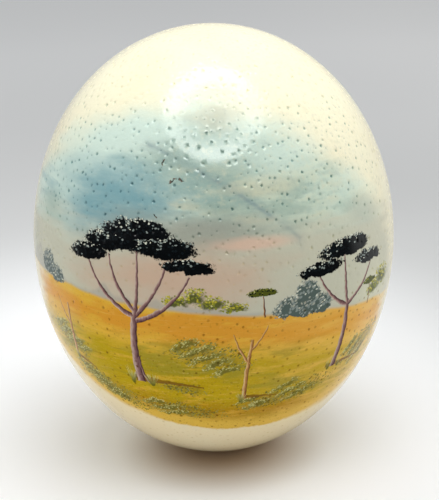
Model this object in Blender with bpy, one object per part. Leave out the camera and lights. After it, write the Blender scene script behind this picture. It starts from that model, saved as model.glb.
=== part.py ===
"""A blown ostrich egg that stands upright on a small flat spot.

Metres, +Z up along the egg's axis, with the origin at the centre of the flat spot.
The shell is one closed body. Its wider end is up, and its larger pores are real pits.
"""

import math
import random

import bmesh
import bpy
from mathutils import Vector

# The whole egg, before its lower end is ground flat
SHELL_LENGTH = 0.154
SHELL_WIDTH = 0.127
WIDEST_ABOVE_MIDDLE = 0.0022

# The flat spot that the egg stands on
FOOT_RADIUS = 0.009

# The mesh of the shell: 20 * 4 ** (subdivisions - 1) triangles, nudged off their lattice
SHELL_SUBDIVISIONS = 5
NUDGE = 0.0009
NUDGE_CLEAR_OF_FOOT = 0.004

# The larger pores: how many of each size, the pit's radius and its depth
PORE_SIZES = (
    (140, 0.00070, 0.00054),
    (150, 0.00082, 0.00063),
    (100, 0.00095, 0.00073),
)
PORES_CLEAR_OF_FOOT = 0.0016
PORE_SEED = 31

# The varnished cream shell
SHELL_COLOUR = (0.83, 0.77, 0.60, 1.0)
SHELL_ROUGHNESS = 0.22
SHARP_EDGE = math.radians(25)


def clear_scene():
    """Removes every object of the startup scene."""
    for obj in list(bpy.data.objects):
        bpy.data.objects.remove(obj, do_unlink=True)


def part_collection():
    """The collection that holds the egg."""
    collection = bpy.data.collections.new("OstrichEgg")
    bpy.context.scene.collection.children.link(collection)
    return collection


def shell_material():
    """Glossy cream shell."""
    material = bpy.data.materials.new("VarnishedShell")
    material.use_nodes = True
    shader = material.node_tree.nodes["Principled BSDF"]
    shader.inputs["Base Color"].default_value = SHELL_COLOUR
    shader.inputs["Roughness"].default_value = SHELL_ROUGHNESS
    shader.inputs["Metallic"].default_value = 0.0
    material.diffuse_color = SHELL_COLOUR
    return material


def egg_point(direction):
    """The point of the egg's surface for a direction on the unit sphere.

    The egg's middle is at the origin. Its section is an ellipse whose width is
    scaled along the axis, so that it is widest WIDEST_ABOVE_MIDDLE above the middle.
    """
    height = direction.z * SHELL_LENGTH / 2
    swell = SHELL_LENGTH**2 - 8 * WIDEST_ABOVE_MIDDLE * height + 4 * WIDEST_ABOVE_MIDDLE**2
    half_width = SHELL_WIDTH / 2 * SHELL_LENGTH / math.sqrt(swell)
    return Vector((direction.x * half_width, direction.y * half_width, height))


def foot_height():
    """The height, from the egg's middle, at which its lower end is FOOT_RADIUS wide."""
    share = (2 * FOOT_RADIUS / SHELL_WIDTH) ** 2
    centre = share * WIDEST_ABOVE_MIDDLE
    product = (share * (SHELL_LENGTH**2 + 4 * WIDEST_ABOVE_MIDDLE**2) - SHELL_LENGTH**2) / 4
    return centre - math.sqrt(centre**2 - product)


def nudged(direction, rng):
    """The direction, turned a little to a random side."""
    reach = NUDGE / (SHELL_WIDTH / 2)
    step = Vector([rng.uniform(-reach, reach) for _ in range(3)])
    return (direction + step).normalized()


def shape_shell(mesh, rng):
    """Gives a unit sphere the egg's form, with its triangles a little uneven."""
    rim = foot_height() + NUDGE_CLEAR_OF_FOOT
    for vertex in mesh.verts:
        direction = vertex.co.normalized()
        turned = nudged(direction, rng)
        if egg_point(direction).z > rim:
            direction = turned
        vertex.co = egg_point(direction)


def grind_foot(mesh):
    """Cuts the lower end off flat, closes the cut and puts it at height 0."""
    level = Vector((0, 0, foot_height()))
    everything = mesh.verts[:] + mesh.edges[:] + mesh.faces[:]
    bmesh.ops.bisect_plane(
        mesh,
        geom=everything,
        dist=0.00002,
        plane_co=level,
        plane_no=(0, 0, 1),
        clear_inner=True,
    )
    rim = [edge for edge in mesh.edges if edge.is_boundary]
    bmesh.ops.edgeloop_fill(mesh, edges=rim)
    bmesh.ops.translate(mesh, verts=mesh.verts[:], vec=-level)


def pore_places(mesh, rng):
    """The vertices where pores lie: random, and no two joined by an edge."""
    wanted = sum(count for count, _, _ in PORE_SIZES)
    candidates = [vertex for vertex in mesh.verts if vertex.co.z > PORES_CLEAR_OF_FOOT]
    rng.shuffle(candidates)
    chosen = []
    taken = set()
    for vertex in candidates:
        if vertex not in taken and len(chosen) < wanted:
            chosen.append(vertex)
            taken.update(edge.other_vert(vertex) for edge in vertex.link_edges)
    return chosen


def sink_pores(mesh, places, radius, depth):
    """Opens a pore at each of these vertices: a ring of corners round a lowered centre."""
    before = set(mesh.faces)
    bmesh.ops.bevel(
        mesh,
        geom=places,
        offset=radius,
        offset_type="ABSOLUTE",
        segments=1,
        profile=0.5,
        affect="VERTICES",
        clamp_overlap=False,
    )
    openings = [face for face in mesh.faces if face not in before and len(face.verts) > 4]
    bmesh.ops.poke(mesh, faces=openings, offset=-depth, center_mode="MEAN")


def build_egg():
    """The whole egg as one object."""
    rng = random.Random(PORE_SEED)
    mesh = bmesh.new()
    bmesh.ops.create_icosphere(mesh, subdivisions=SHELL_SUBDIVISIONS, radius=1.0)
    shape_shell(mesh, rng)
    grind_foot(mesh)
    places = pore_places(mesh, rng)
    first = 0
    for count, radius, depth in PORE_SIZES:
        sink_pores(mesh, places[first : first + count], radius, depth)
        first += count
    bmesh.ops.recalc_face_normals(mesh, faces=mesh.faces[:])
    data = bpy.data.meshes.new("ostrich_egg")
    mesh.to_mesh(data)
    mesh.free()
    data.shade_smooth()
    data.set_sharp_from_angle(angle=SHARP_EDGE)
    data.materials.append(shell_material())
    return bpy.data.objects.new("ostrich_egg", data)


def main():
    clear_scene()
    part_collection().objects.link(build_egg())


main()
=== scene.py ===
"""The looks of a blown ostrich egg with a savanna painted round its front under clear varnish.

Metres, +Z up, the middle of the egg's flat spot at the origin and the painted front towards -Y.
The shell is modelled with its pores as real pits. The painting is made of brush marks that shader
nodes work out on a canvas laid over the shell: across is millimetres round the middle of the egg
from the front, and up is millimetres along the shell from its middle height.
"""

import logging
import math
from dataclasses import dataclass
from enum import Enum

import bpy
import numpy as np
from mathutils import Matrix, Vector


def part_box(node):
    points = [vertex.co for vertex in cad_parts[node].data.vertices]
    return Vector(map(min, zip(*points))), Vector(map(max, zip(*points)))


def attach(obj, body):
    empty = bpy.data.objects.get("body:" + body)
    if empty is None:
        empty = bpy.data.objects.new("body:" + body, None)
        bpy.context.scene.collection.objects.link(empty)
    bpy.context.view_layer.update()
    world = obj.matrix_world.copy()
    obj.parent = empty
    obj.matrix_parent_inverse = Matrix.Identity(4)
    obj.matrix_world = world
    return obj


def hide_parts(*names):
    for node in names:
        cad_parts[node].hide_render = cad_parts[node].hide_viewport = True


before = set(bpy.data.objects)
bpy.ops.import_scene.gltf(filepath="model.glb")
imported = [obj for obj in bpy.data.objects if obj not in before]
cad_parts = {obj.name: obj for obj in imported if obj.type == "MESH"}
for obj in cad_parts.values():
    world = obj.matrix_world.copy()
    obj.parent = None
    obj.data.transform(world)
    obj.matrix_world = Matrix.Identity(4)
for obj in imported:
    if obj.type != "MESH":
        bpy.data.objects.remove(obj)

LOG = logging.getLogger("ostrich_egg")
MM = 0.001

Pair = tuple[float, float]
Triple = tuple[float, float, float]

RIGHT = (1.0, 0.0, 0.0)
FRONT = (0.0, -1.0, 0.0)
UP = (0.0, 0.0, 1.0)
UP_CANVAS = (0.0, 1.0, 0.0)
TOUCHING = 1e-6
UNCHANGING = 1e4


# ---------------------------------------------------------------- the form of the egg


@dataclass(frozen=True)
class EggForm:
    """The egg's outer form: a turned oval, widest a little above its middle, ground flat below.

    Heights are measured from the flat spot. The oval's own middle is at height `middle`.
    """

    length: float
    width: float
    widest_above_middle: float = 2.2 * MM
    foot_radius: float = 9.0 * MM

    @classmethod
    def filling(cls, low: Vector, high: Vector) -> "EggForm":
        """The form whose ground oval fills a box.

        Args:
            low: The box's lowest corner, at the flat spot's height.
            high: The box's highest corner.

        Returns:
            The form, with the oval's whole length found from the box's height.
        """
        height = high.z - low.z
        form = cls(length=height, width=high.x - low.x)
        for _ in range(6):
            short = height - (form.length / 2 + form.middle)
            form = cls(length=form.length + short, width=form.width)
        return form

    @property
    def middle(self) -> float:
        """The height of the oval's middle above the flat spot.

        Returns:
            The height in metres.
        """
        share = (2 * self.foot_radius / self.width) ** 2
        shift = self.widest_above_middle
        centre = share * shift
        product = (share * (self.length**2 + 4 * shift**2) - self.length**2) / 4
        return math.sqrt(centre**2 - product) - centre

    def half_width(self, rise: np.ndarray) -> np.ndarray:
        """How far the oval's unit circle is stretched sideways.

        Args:
            rise: Heights above the oval's middle, in metres.

        Returns:
            The stretch at each height, in metres.
        """
        shift = self.widest_above_middle
        swell = self.length**2 - 8 * shift * rise + 4 * shift**2
        return self.width / 2 * self.length / np.sqrt(swell)

    def points(self, directions: np.ndarray) -> np.ndarray:
        """The oval's surface points for directions on the unit sphere.

        Args:
            directions: Rows of x, y, z on the unit sphere.

        Returns:
            Rows of x, y, z in metres.
        """
        rise = directions[:, 2] * self.length / 2
        places = directions * self.half_width(rise)[:, None]
        places[:, 2] = rise + self.middle
        return places

    def directions(self, points: np.ndarray) -> np.ndarray:
        """The unit-sphere directions of points.

        Args:
            points: Rows of x, y, z in metres.

        Returns:
            Rows of x, y, z, one unit long on the oval and shorter inside it.
        """
        rise = points[:, 2] - self.middle
        ways = points / self.half_width(rise)[:, None]
        ways[:, 2] = rise / (self.length / 2)
        return ways

    def depths(self, points: np.ndarray) -> np.ndarray:
        """About how far each point lies under the oval's surface, in metres."""
        inward = 1 - np.linalg.norm(self.directions(points), axis=1)
        return inward * (self.length + self.width) / 4


# ---------------------------------------------------------------- the shell's mesh


def values_of(
    items: bpy.types.bpy_prop_collection, name: str, kind: type, columns: int = 1
) -> np.ndarray:
    """Reads one value of each of a mesh's items.

    Args:
        items: The mesh's vertices, edges or the like.
        name: The value's name.
        kind: The kind of number it is stored as.
        columns: How many numbers it has.

    Returns:
        The values, in rows where they have more numbers than one.
    """
    values = np.empty(len(items) * columns, kind)
    items.foreach_get(name, values)
    return values.reshape(-1, columns) if columns > 1 else values


def points_of(mesh: bpy.types.Mesh) -> np.ndarray:
    """The mesh's points, as rows of x, y, z in metres."""
    return values_of(mesh.vertices, "co", np.float32, 3).astype(np.float64)


def move_points(mesh: bpy.types.Mesh, points: np.ndarray) -> None:
    """Puts the mesh's points at these places."""
    mesh.vertices.foreach_set("co", points.astype(np.float32).ravel())
    mesh.update()


@dataclass(frozen=True)
class PoreSize:
    """One size of pore: how many there are, and the rings of its pit.

    The rim is a ring on the surface. Each step is a further ring, as (how much narrower, how much
    deeper), in shares of the rim's radius. The depth is that of the cone that closes the pit.
    """

    count: int
    radius: float
    steps: tuple[Pair, ...] = ()
    depth: float = 0.0


@dataclass
class Shell:
    """The egg's shell, with its pores, as one closed mesh."""

    form: EggForm
    solid: bpy.types.Object
    name: str = "painted_egg"
    subdivisions: int = 7
    nudge: float = 0.30 * MM
    pole_height: float = 0.9999
    foot_margin: float = 2.5 * MM
    foot_rim: float = 0.3 * MM
    top_margin: float = 1.0 * MM
    sharp_edge: float = math.radians(80)
    seed: int = 7
    solid_pore_depth: float = 0.35 * MM
    large: PoreSize = PoreSize(0, 0.82 * MM, ((0.30, 0.13), (0.30, 0.26)), 0.06 * MM)
    others: tuple[PoreSize, ...] = (
        PoreSize(2000, 0.64 * MM, ((0.42, 0.24),), 0.11 * MM),
        PoreSize(2800, 0.44 * MM, (), 0.20 * MM),
    )
    stain_from: float = 0.07 * MM
    stain_full: float = 0.24 * MM
    filled_share: float = 0.95
    filled_behind: float = 0.5
    filled_below: float = 50.0 * MM
    open_above: float = 96.0 * MM
    map_front: float = math.radians(100)
    map_front_share: float = 0.70
    map_reach: float = 0.49

    def build(self) -> bpy.types.Object:
        """Models the shell.

        Returns:
            The finished object, at the origin with its place in its mesh.
        """
        piece = self._oval()
        self._grind_foot(piece)
        self._choose_pores(piece.data)
        for mark, size in enumerate((self.large, *self.others), start=1):
            self._sink(piece, mark, size)
        self._mark_depths(piece.data)
        self._fill_lower_pits(piece.data)
        self._lay_map(piece.data)
        bpy.ops.object.shade_smooth_by_angle(angle=self.sharp_edge)
        LOG.info("%s: %d faces", piece.name, len(piece.data.polygons))
        return piece

    def _oval(self) -> bpy.types.Object:
        """Adds a fine ball and shapes it to the whole oval, its triangles a little uneven.

        Returns:
            The new object.
        """
        bpy.ops.object.select_all(action="DESELECT")
        bpy.ops.mesh.primitive_ico_sphere_add(subdivisions=self.subdivisions, radius=1.0)
        piece = bpy.context.object
        piece.name = piece.data.name = self.name
        ball = points_of(piece.data)
        reach = self.nudge / (self.form.width / 2)
        moved = ball + np.random.default_rng(self.seed).uniform(-reach, reach, ball.shape)
        poles = np.abs(ball[:, 2]) > self.pole_height
        moved[poles] = ball[poles]
        moved /= np.linalg.norm(moved, axis=1, keepdims=True)
        move_points(piece.data, self.form.points(moved))
        return piece

    def _grind_foot(self, piece: bpy.types.Object) -> None:
        """Cuts the lower end off flat at height 0 and closes it round a middle point.

        Args:
            piece: The shell.
        """
        bpy.ops.object.mode_set(mode="EDIT")
        bpy.ops.mesh.select_mode(type="VERT")
        bpy.ops.mesh.select_all(action="SELECT")
        bpy.ops.mesh.bisect(
            plane_co=(0, 0, 0), plane_no=UP, use_fill=True, clear_inner=True, threshold=TOUCHING
        )
        bpy.ops.object.mode_set(mode="OBJECT")
        self._select(piece.data, [face.center.z < TOUCHING for face in piece.data.polygons], "FACE")
        bpy.ops.object.mode_set(mode="EDIT")
        bpy.ops.mesh.poke()
        bpy.ops.object.mode_set(mode="OBJECT")

    @staticmethod
    def _select(mesh: bpy.types.Mesh, chosen: list[bool] | np.ndarray, kind: str) -> None:
        """Selects faces or vertices, and nothing else, in object mode.

        Args:
            mesh: The mesh.
            chosen: For each face or vertex, whether it is selected.
            kind: "FACE" or "VERT", which also becomes the select mode.
        """
        for items in (mesh.vertices, mesh.edges, mesh.polygons):
            items.foreach_set("select", np.zeros(len(items), bool))
        items = mesh.polygons if kind == "FACE" else mesh.vertices
        items.foreach_set("select", np.asarray(chosen, bool))
        bpy.context.tool_settings.mesh_select_mode = (kind == "VERT", False, kind == "FACE")

    def _choose_pores(self, mesh: bpy.types.Mesh) -> None:
        """Marks the vertices that become pores with the number of their size, from 1.

        The large pores lie where the solid has them, and the others at random, none beside another.

        Args:
            mesh: The shell's mesh.
        """
        points = points_of(mesh)
        ends = values_of(mesh.edges, "vertices", np.int32, 2)
        ends = np.concatenate([ends, ends[:, ::-1]])
        ends = ends[np.argsort(ends[:, 0], kind="stable")]
        starts = np.searchsorted(ends[:, 0], np.arange(len(points) + 1))
        free = np.hypot(points[:, 0], points[:, 1]) >= self.top_margin
        free &= points[:, 2] > self.foot_margin
        marks = np.zeros(len(points), np.int32)

        def take(vertex: int, mark: int) -> None:
            """Makes the vertex a pore, so that it and its neighbours can't be others."""
            marks[vertex] = mark
            free[ends[starts[vertex] : starts[vertex + 1], 1]] = free[vertex] = False

        for place in self._large_places():
            nearest = np.argmin(np.linalg.norm(points - place, axis=1))
            if free[nearest]:
                take(nearest, 1)
        shuffled = iter(np.random.default_rng(self.seed + 1).permutation(len(points)))
        for mark, size in enumerate(self.others, start=2):
            made = 0
            while made < size.count:
                vertex = next(shuffled)
                if free[vertex]:
                    take(vertex, mark)
                    made += 1
        mesh.attributes.new("pore_size", "INT", "POINT").data.foreach_set("value", marks)

    def _large_places(self) -> np.ndarray:
        """The places of the solid's pores: its points that lie deep under the oval.

        Returns:
            Rows of x, y, z in metres.
        """
        points = points_of(self.solid.data)
        deep = self.form.depths(points) > self.solid_pore_depth
        deep &= points[:, 2] > self.foot_margin
        return np.unique(points[deep].round(6), axis=0)

    def _sink(self, piece: bpy.types.Object, mark: int, size: PoreSize) -> None:
        """Opens a pit at every vertex with this mark.

        Args:
            piece: The shell.
            mark: The number of the size in the attribute pore_size.
            size: The size.
        """
        marks = values_of(piece.data.attributes["pore_size"].data, "value", np.int32)
        self._select(piece.data, marks == mark, "VERT")
        bpy.ops.object.mode_set(mode="EDIT")
        bpy.ops.mesh.bevel(
            offset_type="ABSOLUTE", offset=size.radius, affect="VERTICES", clamp_overlap=False
        )
        bpy.ops.mesh.select_mode(type="FACE")
        for narrower, deeper in size.steps:
            bpy.ops.mesh.inset(
                thickness=narrower * size.radius,
                depth=-deeper * size.radius,
                use_individual=True,
                use_even_offset=False,
            )
        if size.depth:
            bpy.ops.mesh.poke(offset=-size.depth)
        bpy.ops.object.mode_set(mode="OBJECT")

    def _mark_depths(self, mesh: bpy.types.Mesh) -> None:
        """Writes the attribute pore: 0 on the surface, rising to 1 at the bottom of a pit.

        Args:
            mesh: The shell's mesh.
        """
        points = points_of(mesh)
        depths = self.form.depths(points)
        depths[points[:, 2] < self.foot_rim] = 0
        share = np.clip((depths - self.stain_from) / (self.stain_full - self.stain_from), 0, 1)
        mesh.attributes.remove(mesh.attributes["pore_size"])
        layer = mesh.attributes.new("pore", "FLOAT", "POINT")
        layer.data.foreach_set("value", share.astype(np.float32))

    def _fill_lower_pits(self, mesh: bpy.types.Mesh) -> None:
        """Raises the pits' floors low on the painted side, where paint and varnish fill them.

        Args:
            mesh: The shell's mesh.
        """
        points = points_of(mesh)
        ways = self.form.directions(points)
        surface = self.form.points(ways / np.linalg.norm(ways, axis=1, keepdims=True))
        rise = (points[:, 2] - self.filled_below) / (self.open_above - self.filled_below)
        behind = points[:, 1] / (self.form.width / 2) / self.filled_behind
        share = (1 - np.clip(rise, 0, 1)) * (1 - np.clip(behind, 0, 1)) * self.filled_share
        share[points[:, 2] < self.foot_rim] = 0
        move_points(mesh, points + (surface - points) * share[:, None])

    def _lay_map(self, mesh: bpy.types.Mesh) -> None:
        """Lays a flat map over the shell: round it across, with the front drawn wider, and up it.

        Args:
            mesh: The shell's mesh.
        """
        points = points_of(mesh)
        corners = values_of(mesh.loops, "vertex_index", np.int32)
        starts = values_of(mesh.polygons, "loop_start", np.int32)
        face = np.repeat(np.arange(len(starts)), values_of(mesh.polygons, "loop_total", np.int32))
        outward = np.hypot(points[:, 0], points[:, 1])
        tilt = np.arctan2(points[:, 2] - self.form.middle, outward)[corners]
        turn = np.arctan2(points[:, 0], -points[:, 1])[corners]
        on_axis = outward[corners] < TOUCHING
        first = starts[face]
        anchor = np.where(on_axis[first], turn[first + 1], turn[first])
        turn = anchor + (turn - anchor + math.pi) % (2 * math.pi) - math.pi
        weight = (~on_axis).astype(float)
        mean = np.add.reduceat(turn * weight, starts) / np.add.reduceat(weight, starts)
        turn = np.where(on_axis, mean[face], turn)
        turn -= 2 * math.pi * (mean > math.pi)[face]
        near = np.clip(turn, -self.map_front, self.map_front)
        across = near / self.map_front * self.map_front_share
        across += (turn - near) / (math.pi - self.map_front) * (1 - self.map_front_share)
        map_place = np.column_stack([across, tilt / (math.pi / 2)]) * self.map_reach + 0.5
        layer = mesh.uv_layers.new(name="OFBake")
        layer.uv.foreach_set("vector", map_place.astype(np.float32).ravel())


# ---------------------------------------------------------------- fields and sheets of nodes


class Field:
    """A number, a vector or a colour that varies over the surface, with its sums written plainly."""

    def __init__(self, sheet: "Sheet", socket: bpy.types.NodeSocket) -> None:
        """Holds a socket of a sheet."""
        self.sheet = sheet
        self.socket = socket

    def math(self, operation: str, other: "Number" = 0.0) -> "Field":
        """A Math node that works on this number, and on another where it takes two."""
        return self.sheet.math(operation, self, other)

    def __add__(self, other: "Number") -> "Field":
        """The sum."""
        return self.math("ADD", other)

    def __sub__(self, other: "Number") -> "Field":
        """The difference."""
        return self.math("SUBTRACT", other)

    def __rsub__(self, other: "Number") -> "Field":
        """The difference, the other way round."""
        return self.sheet.math("SUBTRACT", other, self)

    def __mul__(self, other: "Number") -> "Field":
        """The product."""
        return self.math("MULTIPLY", other)

    def __truediv__(self, other: "Number") -> "Field":
        """The quotient."""
        return self.math("DIVIDE", other)

    __radd__ = __add__

    def ramp(self, low: "Number", high: "Number") -> "Field":
        """A smooth rise from 0 at low to 1 at high. With low above high it falls instead."""
        given = {"Value": self, "From Min": low, "From Max": high}
        return self.sheet.field("ShaderNodeMapRange", given, interpolation_type="SMOOTHSTEP")

    def vector_math(self, operation: str, other: object = (0.0, 0.0, 0.0)) -> "Field":
        """A Vector Math node that works on this vector and another."""
        output = "Value" if operation in ("LENGTH", "DOT_PRODUCT") else "Vector"
        return self.sheet.field("ShaderNodeVectorMath", {0: self, 1: other}, output, operation=operation)

    def toward(self, way: "Field | Triple") -> "Field":
        """How far this vector goes one way."""
        return self.vector_math("DOT_PRODUCT", way)

    def split(self) -> tuple["Field", "Field"]:
        """How far across and how far up the canvas this place lies."""
        return self.toward(RIGHT), self.toward(UP_CANVAS)

    def colour_parts(self) -> tuple["Field", ...]:
        """The three numbers of this colour, such as the random ones of a texture."""
        node = self.sheet.node("ShaderNodeSeparateColor", {0: self})
        return tuple(Field(self.sheet, output) for output in node.outputs)

    def laid(self, scale: object, shift: object = (0.0, 0.0, 0.0), turn: float = 0.0) -> "Field":
        """This place as a texture reads it: moved by shift, turned left, then in units of scale."""
        given = {"Vector": self, "Location": shift, "Rotation": (0.0, 0.0, turn), "Scale": scale}
        return self.sheet.field("ShaderNodeMapping", given, vector_type="TEXTURE")

    def noise(
        self, size: float | Triple, detail: float = 2.0, rough: float = 0.5, output: str = "Fac"
    ) -> "Field":
        """Soft noise from 0 to 1, read at this place.

        A Mapping node stands between every sum and every texture, because the renderer keeps few
        values at a time and turns a sum's vector into a texture's place only at the end.

        Args:
            size: The size of its waves, in millimetres, or along each axis.
            detail: How many finer layers it has.
            rough: How strong the finer layers are.
            output: "Fac" for a number, or "Color" for three.

        Returns:
            The noise.
        """
        read_at = self.laid(size if isinstance(size, tuple) else (size, size, size))
        given = {"Vector": read_at, "Scale": 1.0, "Detail": detail, "Roughness": rough}
        return self.sheet.field("ShaderNodeTexNoise", given, output, noise_dimensions="3D")

    def wobble(self, reach: float, size: float, detail: float = 2.0) -> "Field":
        """This place, moved in a way that changes over the surface.

        Args:
            reach: About how far it is moved at most.
            size: The size of the waves.
            detail: How many finer layers they have.

        Returns:
            The place.
        """
        across, up, _ = self.noise(size, detail, output="Color").colour_parts()
        moved = self.sheet.vector((across - 0.5) * (2 * reach), (up - 0.5) * (2 * reach))
        return self.vector_math("ADD", moved)

    def between(self, below: "Paint", above: "Paint") -> "Field":
        """A colour laid over another, as much as this share says."""
        given = {0: self, 6: below, 7: above}
        return self.sheet.field("ShaderNodeMix", given, 2, data_type="RGBA", clamp_factor=True)

    def stained(self, below: "Paint", tint: "Paint") -> "Field":
        """A colour darkened by a tint, as much as this share says."""
        given = {0: self, 6: below, 7: tint}
        return self.sheet.field("ShaderNodeMix", given, 2, data_type="RGBA", blend_type="MULTIPLY")

    def shift(self, below: "Number", above: "Number") -> "Field":
        """From one number to another, as this share goes from 0 to 1."""
        given = {0: self, 2: below, 3: above}
        return self.sheet.field("ShaderNodeMix", given, data_type="FLOAT", clamp_factor=True)

    def tones(self, places: tuple[float, ...], tones: tuple["Tone", ...]) -> "Field":
        """A row of colours, read at this number.

        Args:
            places: The place of each colour.
            tones: The colours.

        Returns:
            The colour.
        """
        node = self.sheet.node("ShaderNodeValToRGB", {0: self})
        elements = node.color_ramp.elements
        while len(elements) < len(places):
            elements.new(0.5)
        for element, place, tone in zip(elements, places, tones):
            element.position = place
            element.color = (*tone.value, 1.0)
        return Field(self.sheet, node.outputs[0])


Number = Field | float


class Sheet:
    """A node tree that is filled in by short calls."""

    def __init__(self, tree: bpy.types.NodeTree) -> None:
        """Holds a tree."""
        self.tree = tree

    def fill(self, node: bpy.types.Node, inputs: dict[int | str, object]) -> None:
        """Links fields to a node's inputs, or sets the inputs to plain values.

        Args:
            node: The node.
            inputs: A field, a tone or a plain value for each input.
        """
        for key, value in inputs.items():
            socket = node.inputs[key]
            plain = value.value if isinstance(value, Enum) else value
            if isinstance(value, Field):
                self.tree.links.new(value.socket, socket)
            else:
                socket.default_value = (*plain, 1.0) if socket.type == "RGBA" else plain

    def node(
        self, kind: str, inputs: dict[int | str, object] | None = None, **settings: object
    ) -> bpy.types.Node:
        """Adds a node beside those before.

        Args:
            kind: The node's type name.
            inputs: A field, a tone or a plain value for each input that is set.
            **settings: Its properties.

        Returns:
            The node.
        """
        column, row = divmod(len(self.tree.nodes), 12)
        node = self.tree.nodes.new(kind)
        node.location = (200 * column, -180 * row)
        for name, value in settings.items():
            setattr(node, name, value)
        self.fill(node, inputs or {})
        return node

    def field(
        self, kind: str, inputs: dict[int | str, object], output: int | str = 0, **settings: object
    ) -> Field:
        """Adds a node, and gives one of its outputs."""
        return Field(self, self.node(kind, inputs, **settings).outputs[output])

    def math(self, operation: str, first: Number, second: Number) -> Field:
        """A Math node."""
        return self.field("ShaderNodeMath", {0: first, 1: second}, operation=operation)

    def vector(self, across: Number, up: Number) -> Field:
        """A place on a canvas."""
        return self.field("ShaderNodeCombineXYZ", {0: across, 1: up})

    def place(self, kind: str = "Object") -> Field:
        """Where a point lies in the object's own space, in metres."""
        return self.field("ShaderNodeTexCoord", {}, kind)


def new_material(name: str) -> tuple[Sheet, bpy.types.Material, bpy.types.Node]:
    """A new material with its sheet and its shader.

    Args:
        name: The material's name.

    Returns:
        The sheet, the material and the shader.
    """
    material = bpy.data.materials.new(name)
    material.use_nodes = True
    shader = material.node_tree.nodes["Principled BSDF"]
    return Sheet(material.node_tree), material, shader


class Mark:
    """A kind of mark, kept as one node group that each use of it shares.

    The group's inputs are the vectors and the numbers, and all that it gives are numbers.
    """

    title = "mark"
    vectors: tuple[str, ...] = ("canvas",)
    numbers: tuple[str, ...] = ()
    gives: tuple[str, ...] = ()

    @classmethod
    def draw(cls, sheet: Sheet, given: dict[str, Field]) -> tuple[Field, ...]:
        """Draws the mark inside its group.

        Args:
            sheet: The group's sheet.
            given: The group's inputs.

        Returns:
            The group's outputs, in order.
        """
        raise NotImplementedError

    @classmethod
    def group(cls) -> bpy.types.NodeTree:
        """The node group, built when it is first asked for.

        Returns:
            The group.
        """
        tree = bpy.data.node_groups.get(cls.title)
        if tree is None:
            tree = bpy.data.node_groups.new(cls.title, "ShaderNodeTree")
            for names, way, kind in (
                (cls.vectors, "INPUT", "NodeSocketVector"),
                (cls.numbers, "INPUT", "NodeSocketFloat"),
                (cls.gives, "OUTPUT", "NodeSocketFloat"),
            ):
                for name in names:
                    tree.interface.new_socket(name=name, in_out=way, socket_type=kind)
            sheet = Sheet(tree)
            entry = sheet.node("NodeGroupInput")
            given = {name: Field(sheet, entry.outputs[name]) for name in cls.vectors + cls.numbers}
            sheet.node("NodeGroupOutput", dict(zip(cls.gives, cls.draw(sheet, given))))
        return tree

    @classmethod
    def use(cls, sheet: Sheet, values: dict[str, object]) -> tuple[Field, ...]:
        """Places the group in a tree with these inputs, and gives its outputs in order."""
        node = sheet.node("ShaderNodeGroup", values, node_tree=cls.group())
        return tuple(Field(sheet, output) for output in node.outputs)


class LaidMark(Mark):
    """A mark that each use lays over those before it.

    Its reach is above 0 inside it. Where it reaches furthest, its shade holds.
    """

    vectors = ("canvas", "start", "way", "off")
    numbers = ("reach", "shade")
    gives = ("reach", "shade")

    def inputs(self) -> dict[str, object]:
        """The group's inputs for this mark."""
        raise NotImplementedError

    @staticmethod
    def shape(along: Field, side: Field, given: dict[str, Field]) -> tuple[Field, Field]:
        """Shapes the mark.

        Args:
            along: How far along the mark's way a point lies from its start.
            side: How far it lies off to the side.
            given: The group's inputs.

        Returns:
            The mark's reach and its shade.
        """
        raise NotImplementedError

    @classmethod
    def draw(cls, sheet: Sheet, given: dict[str, Field]) -> tuple[Field, Field]:
        """Shapes the mark and joins it to those before.

        Args:
            sheet: The group's sheet, not used here.
            given: The group's inputs.

        Returns:
            The joined reach and shade.
        """
        seen = given["canvas"].vector_math("SUBTRACT", given["start"])
        reach, shade = cls.shape(seen.toward(given["way"]), seen.toward(given["off"]), given)
        newer = reach.math("GREATER_THAN", given["reach"])
        shade = newer.shift(given["shade"], shade)
        return reach.math("MAXIMUM", given["reach"]), shade

    @classmethod
    def laid(cls, canvas: Field, marks: tuple["LaidMark", ...]) -> tuple[Field, Field]:
        """Lays marks of this kind over one another.

        Args:
            canvas: The canvas.
            marks: The marks, the first lowest.

        Returns:
            How far inside a mark each point is, and the shade there.
        """
        reach: Number = -9.0
        shade: Number = 0.0
        for mark in marks:
            joined = {"canvas": canvas, "reach": reach, "shade": shade}
            reach, shade = cls.use(canvas.sheet, mark.inputs() | joined)
        return reach, shade


@dataclass(frozen=True)
class Stroke(LaidMark):
    """A stroke's start and end on the canvas in millimetres, its half width, bow and taper.

    Its shade goes from -1 on the left of its way to 1 on the right.
    """

    start: Pair
    end: Pair
    width: float
    bow: float = 0.0
    taper: float = 0.4

    title = "brush_stroke"
    numbers = ("length", "width", "bow", "taper", "reach", "shade")

    def inputs(self) -> dict[str, object]:
        """The group's inputs for this stroke.

        Returns:
            A value for each.
        """
        run, rise = (self.end[0] - self.start[0], self.end[1] - self.start[1])
        length = math.hypot(run, rise)
        return {
            "start": (*self.start, 0.0),
            "way": (run / length**2, rise / length**2, 0.0),
            "off": (-rise / length, run / length, 0.0),
            "length": length,
            "width": self.width,
            "bow": self.bow,
            "taper": self.taper,
        }

    @staticmethod
    def shape(along: Field, side: Field, given: dict[str, Field]) -> tuple[Field, Field]:
        """Bends a thin wedge.

        Args:
            along: How far along the stroke a point lies, from 0 to 1.
            side: How far it lies to the left, in millimetres.
            given: The group's inputs.

        Returns:
            How far inside the stroke it is, in millimetres, and how far across it.
        """
        back = 1.0 - along
        bowed = side - along * back * given["bow"] * 4.0
        width = given["width"] * (1.0 - along * given["taper"])
        body = width - bowed.math("ABSOLUTE")
        ends = along.math("MINIMUM", back) * given["length"] + width * 0.6
        return body.math("MINIMUM", ends), bowed / width * -1.0


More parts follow.
